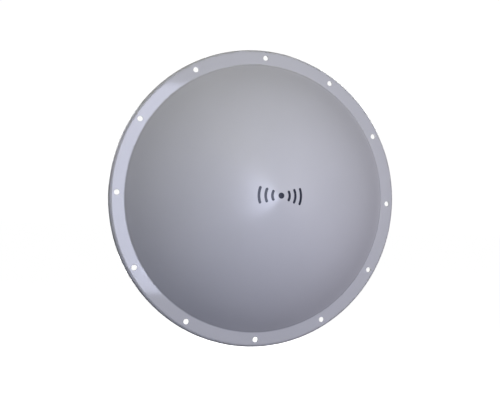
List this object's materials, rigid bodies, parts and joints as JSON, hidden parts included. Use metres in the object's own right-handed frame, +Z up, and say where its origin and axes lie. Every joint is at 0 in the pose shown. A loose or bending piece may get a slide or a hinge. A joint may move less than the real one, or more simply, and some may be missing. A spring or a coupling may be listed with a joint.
{
  "type": "radome-covered dish antenna",
  "caption": "Round dish antenna behind a shallow domed radome with a drilled flange, on a tilting and swivelling bracket that clamps to a mast.",
  "frame": {"origin": "on the mast's axis, midway between the two mast clamps", "axes": "+Z up along the mast; -Y is the way the antenna looks, with the dome in front of the mast; +X is to the right for someone who faces the dome"},
  "size_m": [0.65, 0.4719, 0.65],
  "materials": {
    "radome_plastic": "glossy moulded light grey plastic, UV-stable",
    "mark_film": "thin dark blue film",
    "reflector_paint": "white-grey powder coat on spun aluminium",
    "mount_steel": "hot-dip galvanised sheet steel",
    "cast_aluminium": "sand-blasted cast aluminium",
    "machined_aluminium": "machined, chromated",
    "stainless_steel": "bright stainless",
    "gasket_rubber": "matt EPDM",
    "feed_plastic": "white low-loss plastic",
    "spacer_plastic": "natural nylon",
    "socket_brass": "nickel-plated brass",
    "cap_rubber": "matt moulded rubber",
    "pointer_paint": "red paint on steel"
  },
  "bodies": {
    "mast_mount": {"mast_bracket": "mount_steel", "mast_saddles": "cast_aluminium", "mast_straps": "cast_aluminium", "mast_clamp_bolts": "stainless_steel", "mast_clamp_nuts": "stainless_steel", "swivel_bolts": "stainless_steel", "swivel_nuts": "stainless_steel", "swivel_lock_bolts": "stainless_steel", "swivel_lock_nuts": "stainless_steel", "ground_screw": "socket_brass"},
    "yoke_body": {"yoke": "mount_steel", "tilt_pivot_bolts": "stainless_steel", "tilt_pivot_nuts": "stainless_steel", "tilt_spacers": "spacer_plastic", "tilt_lock_bolts": "stainless_steel", "tilt_lock_nuts": "stainless_steel", "tilt_lock_washers": "stainless_steel", "tilt_pointer": "pointer_paint"},
    "dish": {"cradle": "mount_steel", "reflector": "reflector_paint", "rim_gasket": "gasket_rubber", "hub_ring": "mount_steel", "hub_bolts": "stainless_steel", "hub_nuts": "stainless_steel", "feed_collar": "machined_aluminium", "collar_screws": "stainless_steel", "feed_seal": "gasket_rubber", "feed_clamp": "cast_aluminium", "feed_clamp_screw": "stainless_steel", "jack_pivot_bolt": "stainless_steel", "jack_pivot_nut": "stainless_steel", "jack_spacer": "stainless_steel"},
    "radome": {"radome_shell": "radome_plastic", "emblem": "mark_film"},
    "feed": {"feed_tube": "machined_aluminium", "feed_cone": "feed_plastic", "splash_plate": "machined_aluminium", "splash_plate_screw": "stainless_steel", "transducer_body": "machined_aluminium", "transducer_cap": "machined_aluminium", "transducer_screws": "stainless_steel", "connector_a": "socket_brass", "connector_b": "socket_brass"},
    "cap_a": {"dust_cap_a": "cap_rubber"},
    "cap_b": {"dust_cap_b": "cap_rubber"},
    "rod": {"jack_rod": "stainless_steel"},
    "rod_nuts": {"jack_nuts": "stainless_steel"}
  },
  "joints": [
    {"name": "swivel", "type": "hinge", "parent": "mast_mount", "child": "yoke_body", "pos_m": [0, -0.064, 0], "axis": [0, 0, 1], "range_deg": [-12, 12]},
    {"name": "tilt", "type": "hinge", "parent": "yoke_body", "child": "dish", "pos_m": [0, -0.13, 0], "axis": [-1, 0, 0], "range_deg": [-20, 20]},
    {"name": "radome_off", "type": "slide", "parent": "dish", "child": "radome", "axis": [0, -1, 0], "range_m": [0, 0.18]},
    {"name": "feed_roll", "type": "hinge", "parent": "dish", "child": "feed", "pos_m": [0, -0.14, 0], "axis": [0, -1, 0], "range_deg": [-45, 45]},
    {"name": "cap_a_off", "type": "slide", "parent": "feed", "child": "cap_a", "axis": [0.7071, 0, -0.7071], "range_m": [0, 0.018]},
    {"name": "cap_b_off", "type": "slide", "parent": "feed", "child": "cap_b", "axis": [-0.7071, 0, -0.7071], "range_m": [0, 0.018]},
    {"name": "rod_swing", "type": "hinge", "parent": "dish", "child": "rod", "pos_m": [0.068, -0.13, -0.095], "axis": [-1, 0, 0], "range_deg": [-20.5, 20.5]},
    {"name": "rod_nuts_run", "type": "slide", "parent": "rod", "child": "rod_nuts", "axis": [0, 1, 0], "range_m": [-0.034, 0.034]}
  ],
  "couplings": [
    {"joint": "rod_swing", "follows": "tilt", "ratio": -1},
    {"joint": "rod_nuts_run", "follows": "tilt", "m_per_rad": 0.094}
  ]
}
